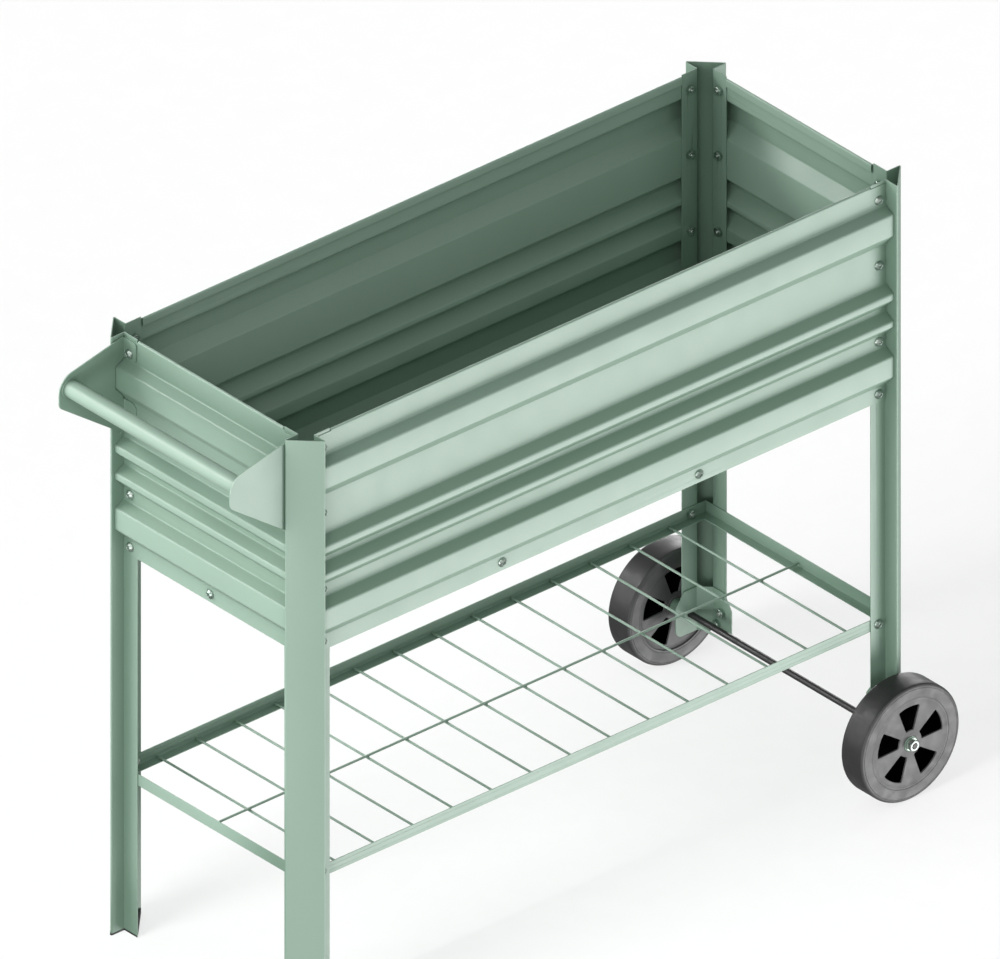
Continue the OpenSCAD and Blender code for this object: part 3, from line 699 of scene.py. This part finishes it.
def make_hub_nuts():
    bm = bmesh.new()
    for low, high in solids("axle_nuts"):
        side = 1 if low.y > 0 else -1
        base = centre_of(low, high)
        base.y = low.y if side > 0 else high.y
        matrix = looking_along(Vector((0, side, 0)), base)
        hex_nut(bm, matrix, HUB_NUT_FLAT, AXLE_BORE, high.y - low.y)
    add_piece("hub_nuts", bm, ZINC, "frame", ["axle_nuts"])


def make_washers(place):
    """Flat washers with softened edges, each in the box of its CAD washer."""
    node = f"axle_{place}_washers"
    bm = bmesh.new()
    for low, high in solids(node):
        outer = (high.z - low.z) / 2
        profile = collar(AXLE_BORE, outer, 0, high.y - low.y, WASHER_EDGE, WASHER_EDGE)
        rings = [ring(r, z, 64) for r, z in profile]
        skin(bm, placed(rings, along_y(low, high)), closed=True)
    add_piece(f"{place}_washers", bm, ZINC, "frame", [node])


# ---------------------------------------------------------------- wheels and tyres

def window_outline(turn):
    """Points and outward normals of one window: a sector with rounded corners."""
    low, high = WINDOW_R
    outer = WINDOW_HALF - math.asin(WINDOW_CORNER / (high - WINDOW_CORNER))
    inner = WINDOW_HALF - math.asin(WINDOW_CORNER / (low + WINDOW_CORNER))
    side = WINDOW_HALF + math.pi / 2
    points = []

    def put(radius, angle, normal_angle, extra=0.0):
        c = Vector((math.cos(angle + turn), math.sin(angle + turn))) * radius
        n = Vector((math.cos(normal_angle + turn), math.sin(normal_angle + turn)))
        points.append((c + n * extra, n))

    def corner(radius, angle, start, stop):
        for i in range(6):
            put(radius, angle, start + (stop - start) * i / 5, WINDOW_CORNER)

    corner(high - WINDOW_CORNER, -outer, -side, -outer)
    for i in range(1, 10):
        a = -outer + 2 * outer * i / 10
        put(high, a, a)
    corner(high - WINDOW_CORNER, outer, outer, side)
    corner(low + WINDOW_CORNER, inner, side, inner + math.pi)
    for i in range(1, 4):
        a = inner - 2 * inner * i / 4
        put(low, a, a + math.pi)
    corner(low + WINDOW_CORNER, -inner, math.pi - inner, 2 * math.pi - side)
    return points


def circle(radius, count):
    """Outline of a circle, in the form of a window's; its normals are nil, so it stays."""
    turns = np.linspace(0, 2 * math.pi, count, endpoint=False)
    return [(Vector((radius * math.cos(a), radius * math.sin(a))), Vector((0, 0))) for a in turns]


def scattered(outlines):
    """Points in rings over a disc, none of them close to a point of its outlines."""
    points = []
    for r in np.arange(DISC_INNER_R + 2 * MM, DISC_OUTER_R - 0.3 * MM, 1.6 * MM):
        count = max(24, int(r / MM * 1.9))
        for i in range(count):
            a = 2 * math.pi * i / count
            p = Vector((r * math.cos(a), r * math.sin(a)))
            if all((p - q).length > 0.7 * MM for q in outlines):
                points.append(p)
    return points


def disc_face(bm, loops, z, lift, upward):
    """One face of a disc with windows; gives the vertices made for its outline points."""
    points, edges, holes = [], [], []
    for number, loop in enumerate(loops):
        first = len(points)
        points += [p + n * DISC_FILLET for p, n in loop]
        edges += [(first + i, first + (i + 1) % len(loop)) for i in range(len(loop))]
        if number > 1:
            holes.append(points[first:])
    points += scattered(points)
    coords, _, faces, origin, _, _ = geometry.delaunay_2d_cdt(points, edges, [], 0, 1e-8)
    verts = [bm.verts.new((c.x, c.y, z + lift(c.length))) for c in coords]
    for f in faces:
        mid = sum((coords[i] for i in f), Vector((0, 0))) / len(f)
        if mid.length > DISC_INNER_R * 0.999 and not any(inside(mid, h) for h in holes):
            bm.faces.new([verts[i] for i in (f if upward else reversed(f))])
    return {source: verts[i] for i, sources in enumerate(origin) for source in sources}


def rounded_edge(bm, window, rim, z, lift, inward):
    """Rows of vertices that turn a disc's face into a window's wall, from the rim inward."""
    rows = [rim]
    for step in (30, 60, 90):
        t = math.radians(step)
        row = []
        for p, n in window:
            q = p + n * DISC_FILLET * (1 - math.sin(t))
            drop = inward * DISC_FILLET * (1 - math.cos(t))
            row.append(bm.verts.new((q.x, q.y, z + drop + lift(q.length))))
        rows.append(row)
    return rows


def bridge(bm, row, other):
    """Quads between two closed rows of vertices."""
    for i in range(len(row)):
        j = (i + 1) % len(row)
        bm.faces.new([row[i], row[j], other[j], other[i]])


def spoked_disc(bm, z_face, z_back, phase, relief):
    """Disc with windows between hub and barrel; relief(r) lifts the faces by radius."""
    side = 1 if z_face > z_back else -1
    windows = [window_outline(phase + 2 * math.pi * k / WINDOWS) for k in range(WINDOWS)]
    loops = [circle(DISC_OUTER_R, 120), circle(DISC_INNER_R, 48)] + windows

    def lift(r):
        return side * relief(r)

    front = disc_face(bm, loops, z_face, lift, side > 0)
    back = disc_face(bm, loops, z_back, lift, side < 0)
    rims = []
    first = 0
    for loop in loops:
        here = range(first, first + len(loop))
        rims.append(([front[i] for i in here], [back[i] for i in here]))
        first += len(loop)
    for window, (near, far) in zip(windows, rims[2:]):
        rows = rounded_edge(bm, window, near, z_face, lift, -side)
        rows += reversed(rounded_edge(bm, window, far, z_back, lift, side))
        for row, other in zip(rows, rows[1:]):
            bridge(bm, row, other)
    for near, far in rims[:2]:
        bridge(bm, near, far)


def inside(point, outline):
    """Whether a 2D point is inside a closed outline."""
    hit = False
    for a, b in zip(outline, outline[1:] + outline[:1]):
        if (a.y > point.y) != (b.y > point.y):
            if point.x < a.x + (point.y - a.y) * (b.x - a.x) / (b.y - a.y):
                hit = not hit
    return hit


def smooth_step(x, low, high):
    t = max(0.0, min(1.0, (x - low) / (high - low)))
    return t * t * (3 - 2 * t)


def front_relief(r):
    """Height added to the outer disc: a boss round the hub and a cove at the rim."""
    cove = 0.5 * MM * smooth_step(r, BARREL_R - 3.0 * MM, BARREL_R + 0.6 * MM)
    boss = 0.5 * MM * smooth_step(-r, -HUB_R - 4 * MM, -HUB_R)
    return cove + boss


def back_relief(r):
    """Height added to the inner disc: a cove at the rim."""
    return 1.2 * MM * smooth_step(r, BARREL_R - 4 * MM, BARREL_R + 0.6 * MM)


def make_wheel_body(side_name, phase, matrix, disc_in, disc_out, half):
    """Two windowed discs, the hub and the barrel that carries the tyre."""
    bm = bmesh.new()
    spoked_disc(bm, disc_out, disc_out - DISC_THICKNESS, phase, front_relief)
    spoked_disc(bm, disc_in, disc_in + DISC_THICKNESS, phase, back_relief)
    edge = 0.5 * MM
    low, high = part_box(f"wheel_sleeve_{side_name}")
    bore = (high.z - low.z) / 2 + 0.05 * MM
    turned(bm, collar(bore, HUB_R, disc_in - 0.8 * MM, disc_out + 0.7 * MM, edge, edge), 64)
    rim = half - 0.2 * MM
    turned(bm, collar(BARREL_R, RIM_R, -rim, rim, edge, 0.2 * MM), 160)
    bmesh.ops.transform(bm, matrix=matrix, verts=bm.verts)
    node = f"wheel_{side_name}"
    add_piece(f"wheel_body_{side_name}", bm, WHEEL, f"{side_name}_wheel", [node], 40)


def make_shade_lining(side_name, matrix, disc_in, disc_out):
    """Black lining of the space between the discs, closed by a web in its middle: a dark sheet that
    paints shade into the windows.
    """
    web = 1.25 * MM
    lining = 0.6 * MM
    low, high = disc_in + DISC_THICKNESS, disc_out - DISC_THICKNESS
    inner, outer = HUB_R + lining, BARREL_R - lining
    bm = bmesh.new()
    turned(bm, [
        (HUB_R, low), (inner, low), (inner, -web), (outer, -web), (outer, low), (BARREL_R, low),
        (BARREL_R, high), (outer, high), (outer, web), (inner, web), (inner, high), (HUB_R, high),
    ], 96)
    bmesh.ops.transform(bm, matrix=matrix, verts=bm.verts)
    add_piece(f"wheel_core_{side_name}", bm, SHADE_LINING_BLACK, f"{side_name}_wheel")


def make_tread(side_name, matrix, radius, half):
    """Solid tyre with a fine groove in each wall and rounded shoulders."""
    seat = RIM_R + 0.05 * MM
    lip = 0.3 * MM
    shoulder = 3.6 * MM
    groove = radius - shoulder - 0.9 * MM
    upper = arc((seat + lip, half - lip), lip, 180, 90, 4)
    upper += [
        (groove - 0.6 * MM, half), (groove - 0.25 * MM, half - 0.4 * MM),
        (groove + 0.25 * MM, half - 0.4 * MM), (groove + 0.6 * MM, half),
    ]
    upper += arc((radius - shoulder, half - shoulder), shoulder, 90, 0, 9)
    upper += [(radius, half * 0.5), (radius, MM)]
    bm = bmesh.new()
    turned(bm, upper + [(r, -z) for r, z in reversed(upper)], 192)
    bmesh.ops.transform(bm, matrix=matrix, verts=bm.verts)
    node = f"tyre_{side_name}"
    add_piece(f"tread_{side_name}", bm, RUBBER, f"{side_name}_wheel", [node], 40)


def make_wheel(side_name):
    """Wheel body, its black painted-shade lining and the tread round it, all facing away from the
    planter.
    """
    side = -1 if side_name == "front" else 1
    low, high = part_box(f"tyre_{side_name}")
    radius = (high.z - low.z) / 2
    half = (high.y - low.y) / 2
    matrix = looking_along(Vector((0, side, 0)), centre_of(low, high))
    phase = WINDOW_PHASE if side < 0 else math.pi - WINDOW_PHASE
    disc_in, disc_out = 3.2 * MM - half, half - 0.8 * MM
    make_wheel_body(side_name, phase, matrix, disc_in, disc_out, half)
    make_shade_lining(side_name, matrix, disc_in, disc_out)
    make_tread(side_name, matrix, radius, half)


# ---------------------------------------------------------------- studio

def make_floor():
    """Pale paper floor, clear from below; it throws no light back on the planter."""
    mesh = bpy.data.meshes.new("floor")
    h = FLOOR_SIZE / 2
    z = cad_box[0].z - 0.2 * MM
    mesh.from_pydata([(-h, -h, z), (h, -h, z), (h, h, z), (-h, h, z)], [], [(0, 1, 2, 3)])
    floor = bpy.data.objects.new("floor", mesh)
    floor.visible_diffuse = False
    floor.visible_glossy = False
    bpy.context.scene.collection.objects.link(floor)
    s = Shader("floor_paper")
    tone = s.mix(s.clouds(40 * MM, 0.0, 1.0, 4.0), grey(0.835), grey(0.845))
    s.set(Base_Color=tone, Roughness=0.95, Specular_IOR_Level=0.1)
    clear = s.add("ShaderNodeBsdfTransparent")
    under = s.add("ShaderNodeNewGeometry").outputs["Backfacing"]
    choose = s.add("ShaderNodeMixShader", {0: under, 1: s.surface.outputs[0], 2: clear.outputs[0]})
    out = next(n for n in s.tree.nodes if n.type == "OUTPUT_MATERIAL")
    s.tree.links.new(choose.outputs[0], out.inputs["Surface"])
    mesh.materials.append(s.material)
    return floor


def make_world():
    """Grey studio: soft light from the walls and a little from below, dark overhead."""
    world = bpy.data.worlds.new("studio")
    bpy.context.scene.world = world
    world.use_nodes = True
    tree = world.node_tree
    tree.nodes.clear()
    out = tree.nodes.new("ShaderNodeOutputWorld")
    back = tree.nodes.new("ShaderNodeBackground")
    place = tree.nodes.new("ShaderNodeTexCoord")
    split = tree.nodes.new("ShaderNodeSeparateXYZ")
    height = tree.nodes.new("ShaderNodeMapRange")
    height.inputs["From Min"].default_value = -1.0
    ramp = tree.nodes.new("ShaderNodeValToRGB")
    tree.links.new(place.outputs["Generated"], split.inputs[0])
    tree.links.new(split.outputs["Z"], height.inputs["Value"])
    tree.links.new(height.outputs["Result"], ramp.inputs["Fac"])
    tree.links.new(ramp.outputs["Color"], back.inputs["Color"])
    tree.links.new(back.outputs[0], out.inputs["Surface"])
    stops = ramp.color_ramp.elements
    stops[0].color = grey(0.30)
    stops[1].color = grey(0.04)
    for at, value in ((0.49, 0.30), (0.53, 0.08), (0.60, 0.62), (0.74, 0.62), (0.80, 0.08)):
        stops.new(at).color = grey(value)


def sun(name, direction, strength, spread, only):
    """Sun whose light travels along a direction and falls on one collection."""
    data = bpy.data.lights.new(name, "SUN")
    data.energy = strength
    data.angle = math.radians(spread)
    light = bpy.data.objects.new(name, data)
    light.rotation_euler = Vector(direction).to_track_quat("-Z", "Y").to_euler()
    bpy.context.scene.collection.objects.link(light)
    light.light_linking.receiver_collection = only
    return light


def area(name, azimuth, elevation, power, reach, blockers=None, size=(2.2, 1.6)):
    """Soft box that lights one collection; azimuth and elevation as the camera's, in degrees."""
    data = bpy.data.lights.new(name, "AREA")
    data.shape = "RECTANGLE"
    data.size, data.size_y = size
    data.energy = power
    light = bpy.data.objects.new(name, data)
    back = direction_to(azimuth, elevation)
    light.location = centre_of(*cad_box) + back * LIGHT_DISTANCE
    light.rotation_euler = (-back).to_track_quat("-Z", "Y").to_euler()
    light.visible_camera = False
    bpy.context.scene.collection.objects.link(light)
    light.light_linking.receiver_collection = reach
    light.light_linking.blocker_collection = blockers or reach


def direction_to(azimuth, elevation):
    """Unit vector from the object towards an azimuth and elevation."""
    a, e = math.radians(azimuth), math.radians(elevation)
    return Vector((math.sin(a) * math.cos(e), -math.cos(a) * math.cos(e), math.sin(e)))


def collection_of(name, objects):
    """Collection that holds some objects, for lights that reach only those."""
    group = bpy.data.collections.new(name)
    bpy.context.scene.collection.children.link(group)
    for o in objects:
        group.objects.link(o)
    return group


def make_flag():
    """Card that keeps the low lights off what stands under the box; only they meet it."""
    low, high = cad_box
    y = low.y / 2
    left, right = low.x, high.x * 2
    bottom, top = -90 * MM, 300 * MM
    mesh = bpy.data.meshes.new("flag")
    corners = [(left, y, bottom), (right, y, bottom), (right, y, top), (left, y, top)]
    mesh.from_pydata(corners, [], [(0, 1, 2, 3)])
    flag = bpy.data.objects.new("flag", mesh)
    for kind in ("camera", "diffuse", "glossy", "transmission", "volume_scatter"):
        setattr(flag, f"visible_{kind}", False)
    bpy.context.scene.collection.objects.link(flag)
    return flag


def make_lights(floor):
    """Soft boxes that reach the planter alone, and two suns that reach the floor alone."""
    pieces = [o for o in bpy.context.scene.objects if o.type == "MESH" and o is not floor]
    planter = collection_of("planter", pieces)
    flagged = collection_of("flagged", pieces + [make_flag()])
    area("key", 40, -30, 82, planter, flagged)
    area("low_fill", 0, -30, 12, planter, flagged)
    area("front_fill", 30, 5, 20, planter)
    area("corner", -45, 40, 34, planter)
    area("side", -70, -6, 58, planter)
    area("side_high", -100, 40, 27, planter)
    area("side_rear", -130, 5, 36, planter)
    area("handle_glint", -139, 31, 70, planter, size=(2.2, 0.5))
    area("rear", 140, 5, 75, planter)
    ground = collection_of("ground", [floor])
    sun("floor_wash", (0, 0, -1), 2.55, 30, ground).data.use_shadow = False
    sun("floor_shade", (1.7, 0, -1), 1.0, 28, ground)


def make_camera():
    """Parallel camera that looks at a point a little above the middle of the planter."""
    data = bpy.data.cameras.new("camera")
    data.type = "ORTHO"
    data.ortho_scale = CAMERA_WIDTH
    data.clip_end = 50
    camera = bpy.data.objects.new("camera", data)
    back = direction_to(CAMERA_AZIMUTH, CAMERA_ELEVATION)
    camera.location = centre_of(*cad_box) + CAMERA_AIM_SHIFT + back * 5
    camera.rotation_euler = (-back).to_track_quat("-Z", "Y").to_euler()
    bpy.context.scene.collection.objects.link(camera)
    bpy.context.scene.camera = camera


# ---------------------------------------------------------------- assembly

make_camera()
dress_sheet_metal()
make_fasteners()
make_handle_welds()
make_shelf_wires()
make_axle()
make_hub_nuts()
make_washers("inner")
make_washers("outer")
make_wheel("front")
make_wheel("back")
make_world()
make_lights(make_floor())
bpy.context.scene.view_settings.view_transform = "Standard"
